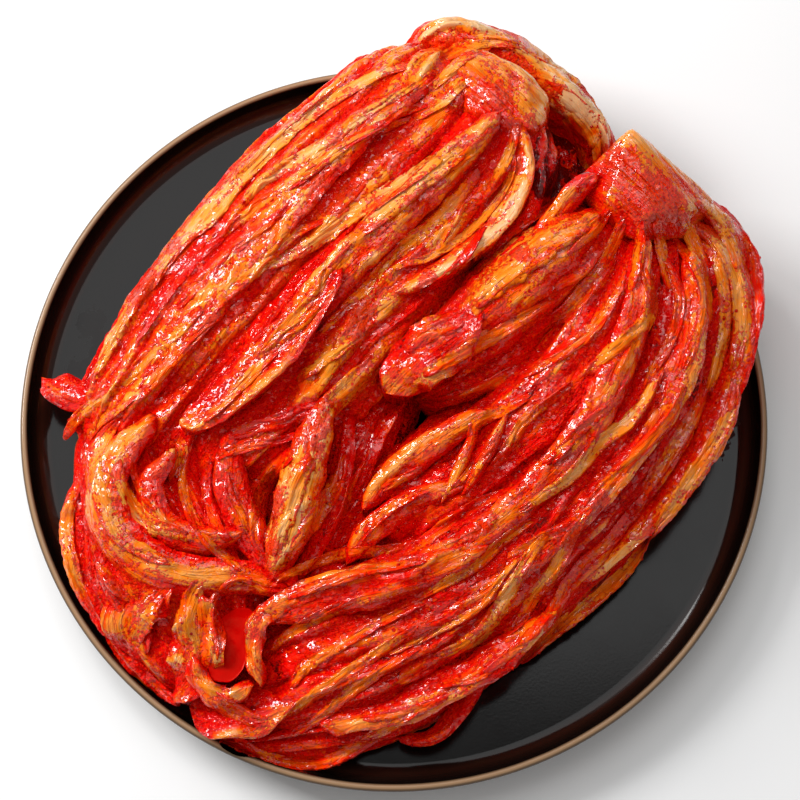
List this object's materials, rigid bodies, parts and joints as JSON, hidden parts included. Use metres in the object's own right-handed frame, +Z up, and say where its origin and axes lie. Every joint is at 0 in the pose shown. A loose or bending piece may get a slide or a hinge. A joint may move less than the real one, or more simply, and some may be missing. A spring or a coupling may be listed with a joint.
{
  "type": "whole-leaf kimchi on a plate",
  "caption": "Whole-leaf napa cabbage kimchi: long red, chilli-coated cabbage wedges lying root to tip, side by side on a round black tray plate.",
  "frame": {"origin": "on the table, under the middle of the whole object's box", "axes": "+Z up; +Y from the loose leaf tips at the front towards the cut root ends at the back; +X to the right as seen from the front"},
  "size_m": [0.3, 0.3124, 0.079],
  "materials": {
    "black_glaze": "glossy black glaze with a bronze line on the lip",
    "kimchi_leaf": "wet cabbage leaves and stems coated in red chilli paste, cream to orange where the stems show",
    "chilli_sauce": "wet, glossy red sauce"
  },
  "bodies": {
    "root": {"plate": "black_glaze", "cabbage_left": "kimchi_leaf", "cabbage_right": "kimchi_leaf", "sauce_pool": "chilli_sauce"}
  },
  "joints": []
}
